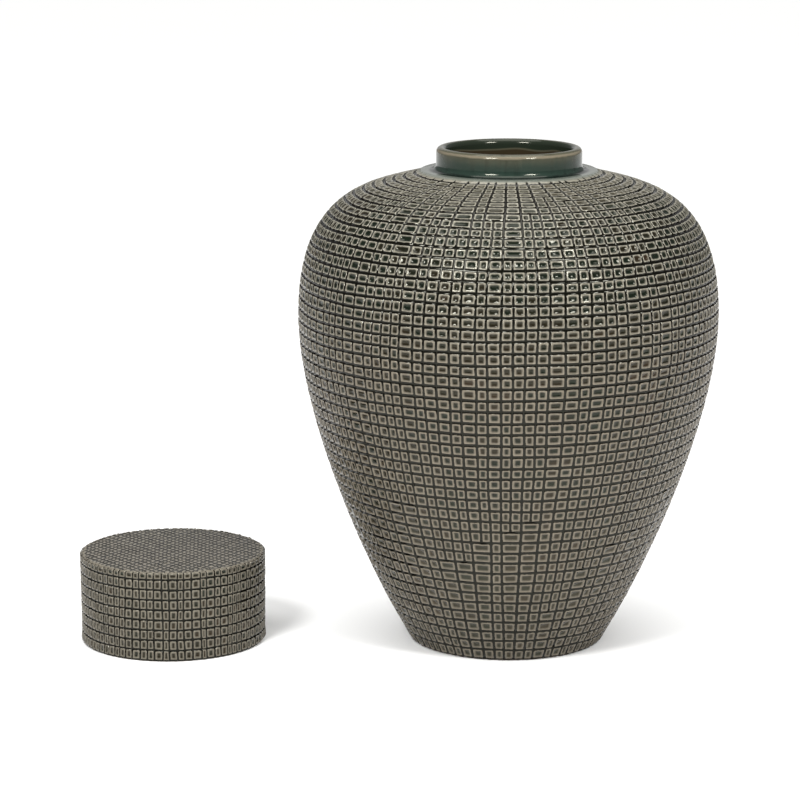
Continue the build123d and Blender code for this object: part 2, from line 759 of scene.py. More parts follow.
class Signal:
    """A shader socket that can be used in Python arithmetic."""

    def __init__(self, tree: bpy.types.NodeTree, socket: bpy.types.NodeSocket) -> None:
        """Wraps a socket of a node tree."""
        self.tree = tree
        self.socket = socket

    def maths(self, operation: str, *terms: Value) -> Signal:
        """Adds one Math node.

        Args:
            operation: the node's operation.
            terms: its inputs, in order.

        Returns:
            Its result.
        """
        made = self.tree.nodes.new("ShaderNodeMath")
        made.operation = operation
        for socket, term in zip(made.inputs, terms):
            feed(self.tree, socket, term)
        return Signal(self.tree, made.outputs[0])

    def __abs__(self) -> Signal:
        """Drops the sign."""
        return self.maths("ABSOLUTE", self)

    def least(self, other: Value) -> Signal:
        """Takes the smaller of two."""
        return self.maths("MINIMUM", self, other)

    def greatest(self, other: Value) -> Signal:
        """Takes the larger of two."""
        return self.maths("MAXIMUM", self, other)

    def __add__(self, other: Value) -> Signal:
        """Adds."""
        return self.maths("ADD", self, other)

    def __radd__(self, other: Value) -> Signal:
        """Adds to a number."""
        return self.maths("ADD", other, self)

    def __sub__(self, other: Value) -> Signal:
        """Subtracts."""
        return self.maths("SUBTRACT", self, other)

    def __rsub__(self, other: Value) -> Signal:
        """Subtracts from a number."""
        return self.maths("SUBTRACT", other, self)

    def __mul__(self, other: Value) -> Signal:
        """Multiplies."""
        return self.maths("MULTIPLY", self, other)

    def __rmul__(self, other: Value) -> Signal:
        """Multiplies a number."""
        return self.maths("MULTIPLY", other, self)

    def __pow__(self, other: Value) -> Signal:
        """Raises to a power."""
        return self.maths("POWER", self, other)


Value = Signal | float | tuple


def feed(tree: bpy.types.NodeTree, socket: bpy.types.NodeSocket, value: Value) -> None:
    """Links a signal to a socket, or sets the socket's own value.

    Args:
        tree: the material's nodes.
        socket: the input.
        value: what goes into it.
    """
    if isinstance(value, Signal):
        tree.links.new(value.socket, socket)
    elif isinstance(value, tuple) and len(value) == 3 and socket.type == "RGBA":
        socket.default_value = (*value, 1.0)
    else:
        socket.default_value = value


def srgb(red: int, green: int, blue: int) -> Colour:
    """Turns a colour given as on a screen into the linear one that shaders use.

    Args:
        red: from 0 to 255.
        green: from 0 to 255.
        blue: from 0 to 255.

    Returns:
        The linear colour, from 0 to 1.
    """

    def linear(level: int) -> float:
        """One channel's linear share."""
        share = level / 255
        return share / 12.92 if share <= 0.04045 else ((share + 0.055) / 1.055) ** 2.4

    return linear(red), linear(green), linear(blue)


class Finish:
    """One node material while it is being made."""

    def __init__(self, name: str) -> None:
        """Starts a material with its Principled shader."""
        self.material = bpy.data.materials.new(name)
        self.material.use_nodes = True
        self.tree = self.material.node_tree
        self.shader = self.tree.nodes["Principled BSDF"]
        self.place = self.node("ShaderNodeTexCoord", output="Object")
        self.x, self.y, self.z = self.split(self.place)

    def node(self, kind: str, values: dict[str | int, Value] | None = None, output: str | int = 0,
             **settings: str) -> Signal:
        """Adds a node.

        Args:
            kind: the node's type.
            values: what goes into its sockets, by name or number.
            output: the output to use.
            settings: the node's own settings, set before its sockets.

        Returns:
            The chosen output.
        """
        made = self.tree.nodes.new(kind)
        for name, setting in settings.items():
            setattr(made, name, setting)
        for name, value in (values or {}).items():
            feed(self.tree, made.inputs[name], value)
        return Signal(self.tree, made.outputs[output])

    def split(self, vector: Signal) -> tuple[Signal, Signal, Signal]:
        """Takes a vector apart.

        Args:
            vector: the vector.

        Returns:
            Its three numbers.
        """
        made = self.tree.nodes.new("ShaderNodeSeparateXYZ")
        feed(self.tree, made.inputs[0], vector)
        x, y, z = (Signal(self.tree, socket) for socket in made.outputs)
        return x, y, z

    def attribute(self, name: str, output: str = "Fac") -> Signal:
        """Reads a number that the mesh carries, or with the output Vector a vector."""
        return self.node("ShaderNodeAttribute", output=output, attribute_name=name)

    def noise(self, size: float, detail: float = 2.0, vector: Signal | None = None) -> Signal:
        """Soft random patches, from 0 to 1.

        Args:
            size: how far apart they are, in metres.
            detail: how many finer layers they have.
            vector: the coordinates to use, if not the object's own.

        Returns:
            The noise.
        """
        values = {"Vector": vector or self.place, "Scale": 1 / size, "Detail": detail}
        return self.node("ShaderNodeTexNoise", values)

    def step(self, value: Value, low: float, high: float) -> Signal:
        """Goes smoothly from 0 at low to 1 at high."""
        values = {"Value": value, "From Min": low, "From Max": high}
        return self.node("ShaderNodeMapRange", values, interpolation_type="SMOOTHSTEP")

    def mix(self, factor: Value, first: Value, second: Value) -> Signal:
        """Goes from one colour to another as factor goes from 0 to 1."""
        values = {0: factor, 6: first, 7: second}
        return self.node("ShaderNodeMix", values, output=2, data_type="RGBA")

    def shade(self, factor: Value, colour: Signal) -> Signal:
        """Multiplies a colour by a number."""
        values = {0: colour, "Scale": factor}
        return self.node("ShaderNodeVectorMath", values, operation="SCALE")

    def bump(self, height: Signal, depth: float) -> Signal:
        """Makes a normal from a height field.

        Args:
            height: the field, from 0 to 1.
            depth: how far 1 stands above 0, in metres.

        Returns:
            The normal.
        """
        return self.node("ShaderNodeBump", {"Height": height, "Distance": depth, "Strength": 1.0})

    def finish(self, **sockets: Value) -> bpy.types.Material:
        """Fills the shader's sockets.

        Args:
            sockets: what goes into each, with _ for each space in its name.

        Returns:
            The finished material.
        """
        for name, value in sockets.items():
            feed(self.tree, self.shader.inputs[name.replace("_", " ")], value)
        return self.material


# ---------------------------------------------------------------- finishes


class TilePlace:
    """How far in from its outline a place on a tile is, as a share of a full tile's measure."""

    STRAY_SIZE = 2.5 * MM
    STRAY = 0.14
    LEAST_REACH = 0.01

    def __init__(self, finish: Finish) -> None:
        """Reads what the mesh carries.

        Args:
            finish: the material being made.
        """
        across, up, _ = finish.split(finish.attribute("spot", "Vector"))
        width, height, _ = finish.split(finish.attribute("reach", "Vector"))
        self.side = width - abs(across)
        self.end = height - abs(up)
        self.laid_out = width.maths("GREATER_THAN", width, self.LEAST_REACH)
        self.cut = finish.attribute("cut")
        self.stray = (finish.noise(self.STRAY_SIZE, 1) - 0.5) * self.STRAY

    def rounded(self, corner: float) -> Signal:
        """Gives the place, with the lines of equal value rounded at the tile's corners.

        Args:
            corner: the radius of the rounding, in the same share.

        Returns:
            The place: 0 in the groove, and more further in.
        """
        side, end = corner - self.side, corner - self.end
        bend = (side.greatest(0.0) ** 2 + end.greatest(0.0) ** 2) ** 0.5
        place = corner - bend - side.greatest(end).least(0.0)
        return self.cut + (place - self.cut) * self.laid_out + self.stray


@dataclass(frozen=True)
class TileGlaze:
    """The celadon glaze over the cut tiles: thin and beige on edges, dark where it pools.

    Attributes:
        edge: the glaze on the tiles' edges, low on the wall.
        edge_high: the same on the shoulder, lighter and greener.
        high_height: where the one turns into the other.
        groove: the glaze in the grooves.
        hollow_thin: the glaze in hollows where it is thin.
        thin_foot: how thin it is at the foot.
        thin_crown: how thin it is beside the smooth ring.
        groove_edge: the places on a tile where the groove's dark ends.
        crest: the places where the painted highlight on the edge's crest fades, so that the edge begins to
            darken.
        hollow_edge: the places where the hollow's dark begins.
        groove_corner: how round the groove's dark is at a tile's corners.
        hollow_corner: how round the hollow's is.
    """

    name: str
    edge: Colour = srgb(100, 93, 82)
    edge_high: Colour = srgb(125, 121, 109)
    high_height: Span = (200.0 * MM, 320.0 * MM)
    groove: Colour = srgb(9, 9, 5)
    hollow_olive: Colour = srgb(25, 22, 13)
    hollow_green: Colour = srgb(13, 20, 13)
    hollow_brown: Colour = srgb(40, 30, 19)
    hollow_thin: Colour = srgb(88, 83, 68)
    thin_foot: float = 0.0
    foot_height: Span = (50.0 * MM, 160.0 * MM)
    thin_crown: float = 0.4
    crown_height: Span = (325.0 * MM, 345.0 * MM)
    groove_edge: Span = (0.155, 0.235)
    crest: Span = (0.24, 0.40)
    hollow_edge: Span = (0.35, 0.72)
    groove_corner: float = 0.36
    hollow_corner: float = 0.78

    def hollow(self, finish: Finish, high: Signal) -> Signal:
        """Colours the hollows, in patches and a little differently from tile to tile.

        Args:
            finish: the material being made.
            high: 1 on the shoulder and 0 low on the wall.

        Returns:
            The colour.
        """
        tone = finish.attribute("tone") - 0.5
        olive = finish.noise(60 * MM, 2) + tone * 0.3 - high * 0.1
        brown = finish.noise(45 * MM, 2) + tone * 0.2 - high * 0.12
        thin = (1 - finish.step(finish.z, *self.foot_height)) * self.thin_foot
        thin = thin + finish.step(finish.z, *self.crown_height) * self.thin_crown
        colour = finish.mix(finish.step(olive, 0.36, 0.62), self.hollow_green, self.hollow_olive)
        colour = finish.mix(finish.step(brown, 0.5, 0.75) * 0.8, colour, self.hollow_brown)
        return finish.mix(thin, colour, self.hollow_thin)

    def surface(self, finish: Finish, place: TilePlace) -> Signal:
        """Colours the tiles' edges, with a painted highlight on their crests, and their hollows.

        Args:
            finish: the material being made.
            place: the place on a tile.

        Returns:
            The colour.
        """
        high = finish.step(finish.z, *self.high_height)
        inwards = place.rounded(self.hollow_corner) + high * 0.15
        # painted highlight: the edge's colour is lighter at its outer crest and darkens inwards; the noise
        # gives it a random tone
        worn = finish.noise(8 * MM, 2) * 0.5 + 0.95 - finish.step(inwards, *self.crest) * 0.2
        edge = finish.shade(worn, finish.mix(high, self.edge, self.edge_high))
        return finish.mix(finish.step(inwards, *self.hollow_edge), edge, self.hollow(finish, high))

    def grooved(self, finish: Finish, place: TilePlace, colour: Signal) -> Signal:
        """Darkens a colour in the grooves."""
        out_of_groove = finish.step(place.rounded(self.groove_corner), *self.groove_edge)
        return finish.mix(out_of_groove, self.groove, colour)

    def coat(self, finish: Finish, place: TilePlace, colour: Signal) -> bpy.types.Material:
        """Gives the glaze its gloss, its slight ripple and its soft sag into the hollows.

        Args:
            finish: the material being made.
            place: the place on a tile.
            colour: the glaze's colour, without the grooves.

        Returns:
            The finished material.
        """
        sag = 1 - finish.step(place.rounded(self.hollow_corner), 0.25, 1.0)
        ripple = finish.bump(finish.noise(5 * MM, 2) * 0.3 + sag, 0.35 * MM)
        return finish.finish(Base_Color=self.grooved(finish, place, colour), Roughness=0.12,
                             Specular_IOR_Level=0.24, Specular_Tint=(1.0, 0.98, 0.84), Normal=ripple)

    def build(self) -> bpy.types.Material:
        """Makes the material."""
        finish = Finish(self.name)
        place = TilePlace(finish)
        return self.coat(finish, place, self.surface(finish, place))


@dataclass(frozen=True)
class JarGlaze(TileGlaze):
    """The jar's glaze: that of the tiles, which turns smooth and green on the ring and neck.

    Attributes:
        ring_bottom: the heights between which the smooth glaze begins.
        ring_edge: the radii between which the smooth ring ends.
        ring_inside: the radii between which it meets the neck.
        pool_top: the heights between which the glaze pooled round the neck ends.
        pool_edge: the radii between which it ends.
        warm_height: the heights between which the neck turns from green to beige.
        lip_height: the heights between which the worn lip begins.
        lip_inside: the radii between which it begins.
        bore_edge: the radii between which the neck's inside ends.
        mouth_height: the height of the wavy line in the neck's inside.
    """

    thin_foot: float = 0.18
    groove_edge: Span = (0.175, 0.265)
    ring: Colour = srgb(86, 90, 83)
    neck: Colour = srgb(33, 46, 40)
    neck_warm: Colour = srgb(66, 65, 53)
    deep: Colour = srgb(10, 17, 14)
    lip: Colour = srgb(103, 96, 81)
    mouth: Colour = srgb(30, 36, 28)
    mouth_warm: Colour = srgb(45, 38, 26)
    mouth_line: Colour = srgb(76, 74, 60)
    ring_bottom: Span = (338.9 * MM, 339.9 * MM)
    ring_edge: Span = (63.0 * MM, 67.0 * MM)
    ring_inside: Span = (55.0 * MM, 58.6 * MM)
    pool_top: Span = (346.9 * MM, 348.9 * MM)
    pool_edge: Span = (56.6 * MM, 58.2 * MM)
    warm_height: Span = (352.9 * MM, 362.4 * MM)
    lip_height: Span = (359.8 * MM, 361.2 * MM)
    lip_inside: Span = (51.2 * MM, 52.1 * MM)
    bore_edge: Span = (46.5 * MM, 48.5 * MM)
    mouth_height: float = 356.3 * MM

    def outside(self, finish: Finish, radius: Signal) -> Signal:
        """Colours the smooth ring and the neck, where the glaze has run down in streaks.

        Args:
            finish: the material being made.
            radius: the distance from the jar's axis.

        Returns:
            The colour.
        """
        drawn_out = {0: finish.place, 1: (1.0, 1.0, 0.12)}
        streak = finish.noise(6 * MM, 3, finish.node("ShaderNodeVectorMath", drawn_out, operation="MULTIPLY"))
        ragged = streak - 0.5
        warm = finish.step(finish.z + ragged * (6 * MM), *self.warm_height)
        colour = finish.mix(warm, self.neck, self.neck_warm)
        colour = finish.mix(finish.step(streak, 0.5, 0.8) * 0.6, colour, self.deep)
        colour = finish.mix(finish.step(radius, *self.ring_inside), colour, self.ring)
        pooled = 1 - finish.step(finish.z + ragged * (2 * MM), *self.pool_top)
        colour = finish.mix(pooled * (1 - finish.step(radius, *self.pool_edge)), colour, self.deep)
        worn = finish.step(finish.z + ragged * (1.5 * MM), *self.lip_height)
        return finish.mix(worn * finish.step(radius, *self.lip_inside), colour, self.lip)

    def inside(self, finish: Finish) -> Signal:
        """Colours the neck's inside, where a wavy line parts green glaze from brown.

        Args:
            finish: the material being made.

        Returns:
            The colour.
        """
        wave = finish.z + (finish.noise(45 * MM, 1) - 0.5) * (9 * MM) - self.mouth_height
        colour = finish.mix(finish.step(wave, -0.8 * MM, 0.8 * MM), self.mouth_warm, self.mouth)
        line = finish.step(wave, -0.9 * MM, 0.0) * (1 - finish.step(wave, 0.1 * MM, 1.0 * MM))
        return finish.mix(line * 0.7, colour, self.mouth_line)

    def build(self) -> bpy.types.Material:
        """Makes the material."""
        finish = Finish(self.name)
        place = TilePlace(finish)
        radius = (finish.x * finish.x + finish.y * finish.y) ** 0.5
        in_neck = 1 - finish.step(radius, *self.bore_edge)
        green = finish.mix(in_neck, self.outside(finish, radius), self.inside(finish))
        smooth = finish.step(finish.z, *self.ring_bottom) * (1 - finish.step(radius, *self.ring_edge))
        return self.coat(finish, place, finish.mix(smooth, self.surface(finish, place), green))


@dataclass(frozen=True)
class InnerGlaze:
    """The thin olive-brown glaze inside the jar and the lid."""

    name: str
    thin: Colour = srgb(62, 52, 38)
    thick: Colour = srgb(36, 34, 24)

    def build(self) -> bpy.types.Material:
        """Makes the material."""
        finish = Finish(self.name)
        colour = finish.mix(finish.noise(25 * MM, 3), self.thin, self.thick)
        ripple = finish.bump(finish.noise(9 * MM, 2), 0.2 * MM)
        return finish.finish(Base_Color=colour, Roughness=0.18, Normal=ripple)


@dataclass(frozen=True)
class BareClay:
    """Unglazed fired clay, on the foot and the lid's rim."""

    name: str
    clay: Colour = srgb(150, 132, 110)
    scorched: Colour = srgb(112, 88, 68)
    speck: Colour = srgb(74, 58, 46)

    def build(self) -> bpy.types.Material:
        """Makes the material."""
        finish = Finish(self.name)
        colour = finish.mix(finish.step(finish.noise(14 * MM, 4), 0.45, 0.7), self.clay, self.scorched)
        specks = finish.step(finish.noise(1.5 * MM, 1), 0.68, 0.74)
        colour = finish.mix(specks * 0.6, colour, self.speck)
        grain = finish.bump(finish.noise(1.2 * MM, 3), 0.12 * MM)
        return finish.finish(Base_Color=colour, Roughness=0.88, Normal=grain)


@dataclass(frozen=True)
class PalePaper:
    """The pale floor."""

    name: str
    paper: Colour = srgb(244, 244, 243)
    shade: Colour = srgb(241, 241, 240)

    def build(self) -> bpy.types.Material:
        """Makes the material."""
        finish = Finish(self.name)
        colour = finish.mix(finish.noise(0.4, 2) * 0.3, self.paper, self.shade)
        return finish.finish(Base_Color=colour, Roughness=0.9)


# ---------------------------------------------------------------- the jar


@dataclass
class Jar:
    """The jar: a tiled body with a smooth ring, a short neck and a bare foot.

    Attributes:
        foot_flare: where the wall heads as it leaves the foot.
        belly_drop: how far below the widest place the lower wall begins to turn upright.
        belly_rise: how far above it the upper wall heads upright.
        shoulder_pull: where the shoulder comes from as it meets the ring.
        ring: the outer edge of the smooth ring.
        ring_crown: a point on that ring, near the neck.
        neck_steps: the heights above the neck's foot of the rings up its outside.
        bore_steps: the drops from the lip's middle of the rings down its inside.
        floor_bend: how far in from the wall the inside's corner bends.
        first_pitch: the height of the lowest tiles.
        last_pitch: the height of the highest ones.
        foot_edge: how far up the wall the first level groove is.
        stub: the length of the plain ends of the columns beside the smooth ring.
        full_rows: the rows between which no upright groove ends.
        foot_rows: how many rows the tiles take to reach their full width.
        smooth_place: the value of the cut attribute where nothing is cut.
        slope_points: how many points of the outline the smooth ring's slope takes.
    """

    foot_radius: float = 70.0 * MM
    belly_radius: float = 152.5 * MM
    belly_height: float = 241.5 * MM
    foot_flare: Ring = (101.2 * MM, 48.8 * MM)
    belly_drop: float = 74.6 * MM
    belly_rise: float = 101.9 * MM
    shoulder_pull: Ring = (86.9 * MM, 335.4 * MM)
    ring: Ring = (65.0 * MM, 346.1 * MM)
    ring_crown: Ring = (60.0 * MM, 346.45 * MM)
    neck_radius: float = 52.6 * MM
    neck_base: float = 346.9 * MM
    neck_wall: float = 7.4 * MM
    neck_base_round: float = 4.2 * MM
    neck_steps: tuple[float, ...] = (6.0 * MM, 8.0 * MM, 10.0 * MM)
    bore_steps: tuple[float, ...] = (5.0 * MM, 11.0 * MM)
    height: float = 363.4 * MM
    wall: float = 8.0 * MM
    floor: float = 13.0 * MM
    floor_round: float = 14.0 * MM
    floor_bend: tuple[float, float, float] = (4.0 * MM, 11.0 * MM, 22.0 * MM)
    floor_bend_height: float = 20.0 * MM
    throat_round: float = 3.0 * MM
    throat_steps: int = 4
    recess_radius: float = 57.0 * MM
    recess_depth: float = 5.0 * MM

    columns: int = 103
    rows: int = 48
    first_pitch: float = 9.3 * MM
    last_pitch: float = 7.6 * MM
    foot_edge: float = 1.4 * MM
    stub: float = 5.6 * MM
    stub_inset: float = 1.6 * MM
    full_rows: tuple[int, int] = (15, 37)
    foot_rows: int = 8
    tile_width: float = 8.7 * MM
    foot_tile_width: float = 7.0 * MM
    smooth_place: float = 0.31
    curve_steps: int = 200
    slope_points: int = 60
    seed: int = 11

    def __post_init__(self) -> None:
        """Works out the wall's outline and where its level grooves run."""
        self.lower = [
            (self.foot_radius, 0.0),
            self.foot_flare,
            (self.belly_radius, self.belly_height - self.belly_drop),
            (self.belly_radius, self.belly_height),
        ]
        self.upper = [
            (self.belly_radius, self.belly_height),
            (self.belly_radius, self.belly_height + self.belly_rise),
            self.shoulder_pull,
            self.ring,
        ]
        upper = bezier(self.upper, self.curve_steps)[1:]
        self.outline = Outline(bezier(self.lower, self.curve_steps) + upper)
        taper = (self.first_pitch - self.last_pitch) / (2 * self.rows)
        self.levels = [self.foot_edge + k * self.first_pitch - k * k * taper for k in range(self.rows + 1)]
        self.levels.append(self.levels[-1] + self.stub)
        self.cutter = TileCutter()
        self.wobble = HandWobble()

    def wall_rings(self) -> list[Ring]:
        """Lists the rings of the tiled wall, at the depth of the grooves, and the edge of the ring.

        Returns:
            Their radii and heights, from the foot up.
        """
        depths = [self.cutter.depth_at(ring) for ring in range(self.rows + 1)] + [0.0]
        return [tuple(self.outline.at(level, depth)) for level, depth in zip(self.levels, depths)]

    def neck_rings(self) -> list[Ring]:
        """Lists the rings from the smooth ring over the lip and down to the throat.

        Returns:
            Their radii and heights, in that order.
        """
        base = (self.neck_radius + self.neck_base_round, self.neck_base + self.neck_base_round)
        lip = (self.neck_radius - self.neck_wall / 2, self.height - self.neck_wall / 2)
        bore = self.neck_radius - self.neck_wall
        under = inset_curve(self.upper, self.wall)[-1].y
        throat = (bore + self.throat_round, under + self.throat_round)
        rings = [self.ring_crown]
        rings += arc(base, self.neck_base_round, 270, 180, 4)
        rings += [(self.neck_radius, self.neck_base + rise) for rise in self.neck_steps]
        rings += arc(lip, self.neck_wall / 2, 0, 180, 12)
        rings += [(bore, lip[1] - drop) for drop in self.bore_steps]
        rings += arc(throat, self.throat_round, 180, 270, self.throat_steps)
        return rings

    def inside_rings(self) -> list[Ring]:
        """Lists the rings of the inner wall, from the throat down to the floor.

        Returns:
            Their radii and heights, in that order.
        """
        upper = bezier(inset_curve(self.upper, self.wall), 18)[::-1]
        lower = bezier(inset_curve(self.lower, self.wall), 24)[::-1][1:]
        wall = [ring for ring in upper + lower if ring[1] > self.floor + self.floor_round]
        foot = wall[-1][0]
        near, middle, far = (foot - bend for bend in self.floor_bend)
        corner = [wall[-1], (near, self.floor_bend_height), (middle, self.floor), (far, self.floor)]
        return wall[:-1] + bezier(corner, 5) + [(30 * MM, self.floor), (6 * MM, self.floor)]

    def foot_rings(self) -> list[Ring]:
        """Lists the rings of the foot, from its outer edge into the recess under the floor.

        Returns:
            Their radii and heights, in that order.
        """
        edge = self.recess_radius
        top = self.recess_depth
        return [
            self.wall_rings()[0],
            (self.foot_radius - 0.7 * MM, 0.35 * MM),
            (self.foot_radius - 1.6 * MM, 0.0),
            (edge + 4 * MM, 0.0),
            (edge + 0.5 * MM, 0.0),
            (edge, 0.5 * MM),
            (edge, top - 2 * MM),
            *arc((edge - 2 * MM, top - 2 * MM), 2 * MM, 30, 90, 2),
            (edge - 20 * MM, top),
            (6 * MM, top),
        ]

    def shell(self) -> Model:
        """Extrudes the closed shell, ring by ring.

        Returns:
            The model, with its rows numbered and its grooves marked.
        """
        wall = self.wall_rings()
        neck = self.neck_rings()
        model = Model("jar_body", self.columns, wall[0])
        model.grow(wall + neck + self.inside_rings())
        glazed = self.columns * (len(wall) - 1 + len(neck) - 1 - self.throat_steps)
        foot = len(model.mesh.polygons)
        model.grow(self.foot_rings())
        model.turn_outwards()
        model.put_in_order()
        for face in model.mesh.polygons[glazed:foot]:
            face.material_index = Layer.INSIDE.value
        for face in model.mesh.polygons[foot + self.columns:]:
            face.material_index = Layer.CLAY.value
        grooved = self.columns * (self.rows + 1)
        model.numbers("row", Kind.WHOLE, Domain.FACE, lambda i: i // self.columns if i < grooved else -1)
        model.numbers("cut", Kind.REAL, Domain.POINT, lambda i: 0.0 if i < grooved else self.smooth_place)
        return model

    def place_grooves(self, model: Model, meridians: Sequence[int]) -> tuple[dict[int, int], dict[int, int]]:
        """Moves the rings' points to where the grooves run.

        Args:
            model: the shell, with its points evenly spaced.
            meridians: the number of the upright groove that each point is on.

        Returns:
            The rings where some upright grooves end, below the belly and above it.
        """
        grooves = Grooves(self.columns, random.Random(self.seed))
        girths = [TURN * self.outline.at(level).x for level in self.levels]
        first, last = self.full_rows
        widths = [self.tile_width] * len(self.levels)
        for row in range(first):
            share = min(1, row / self.foot_rows)
            widths[row] = self.foot_tile_width + (self.tile_width - self.foot_tile_width) * share
        angles, lower_ends = grooves.march(range(first, -1, -1), girths, widths)
        upper_angles, upper_ends = grooves.march(range(last, self.rows + 2), girths, widths)
        angles.update(upper_angles)
        start = [angle for _, angle in grooves.start]
        shell_rings = len(self.wall_rings()) + len(self.neck_rings()) + len(self.inside_rings())
        for vertex in model.mesh.vertices:
            x, y, z = vertex.co
            radius = math.hypot(x, y)
            if radius < POLE:
                continue
            meridian = meridians[vertex.index]
            ring = vertex.index // self.columns
            if ring <= self.rows + 1:
                angle = angles.get(ring, start)[meridian]
                distance = self.levels[ring]
                drift = self.wobble.height(angle, distance) if 0 < ring <= self.rows else 0.0
                depth = self.cutter.depth_at(ring) if ring <= self.rows else 0.0
                radius, z = self.outline.at(distance + drift, depth)
                angle += self.wobble.angle(angle, distance)
            else:
                angle = angles[0 if ring >= shell_rings else self.rows + 1][meridian]
            vertex.co = (radius * math.cos(angle), radius * math.sin(angle), z)
        return lower_ends, upper_ends

    def end_grooves(self, model: Model, meridians: Sequence[int], lower_ends: dict[int, int],
                    upper_ends: dict[int, int]) -> None:
        """Dissolves the upright edges of the grooves that stop short, above and below the belly.

        Args:
            model: the shell, with its points where the grooves run.
            meridians: the number of the upright groove that each point is on.
            lower_ends: the rings where grooves end below the belly.
            upper_ends: the rings where they end above it.
        """
        model.clear_selection()
        for edge in model.mesh.edges:
            a, b = sorted(edge.vertices)
            low, high = a // self.columns, b // self.columns
            if high > self.rows + 1 or high - low != 1:
                continue
            below = lower_ends.get(meridians[a], -1)
            above = upper_ends.get(meridians[a], self.rows + 2)
            if high <= below or low >= above:
                edge.select = True
        model.edit(Part.EDGES)
        bpy.ops.mesh.dissolve_edges(use_verts=True)
        model.rest()

    def level_stubs(self, model: Model) -> None:
        """Raises the ends of the columns beside the smooth ring to its level.

        Args:
            model: the jar, with its tiles cut.
        """
        rows = model.read("row")
        model.select(lambda face: rows[face.index] == self.rows)
        model.mark("cut")
        model.edit(Part.FACES)
        bpy.ops.mesh.inset(thickness=self.stub_inset, depth=0, use_individual=True)
        bpy.ops.mesh.attribute_set(value_float=self.smooth_place)
        model.rest()
        slope = self.outline.points[:-self.slope_points - 1:-1]
        stubs = {index for face in model.mesh.polygons if face.select for index in face.vertices}
        for index in stubs:
            point = model.mesh.vertices[index].co
            radius = math.hypot(point.x, point.y)
            for inner, outer in zip(slope, slope[1:]):
                if inner.x <= radius <= outer.x:
                    point.z = inner.y + (outer.y - inner.y) * (radius - inner.x) / (outer.x - inner.x)

    def build(self, materials: Sequence[bpy.types.Material]) -> bpy.types.Object:
        """Models the jar and dresses it.

        Args:
            materials: its glaze, its inside and its bare clay.

        Returns:
            The finished piece.
        """
        model = self.shell()
        meridians = model.meridians()
        lower_ends, upper_ends = self.place_grooves(model, meridians)
        self.end_grooves(model, meridians, lower_ends, upper_ends)
        rows = model.read("row")
        tiles = self.cutter.carve(model, lambda i: 0 <= rows[i] < self.rows, random.Random(self.seed + 1))
        self.level_stubs(model)
        model.dress(materials)
        model.smooth()
        LOG.info("jar: %d tiles, %d faces", tiles, len(model.mesh.polygons))
        return model.piece


# ---------------------------------------------------------------- the lid


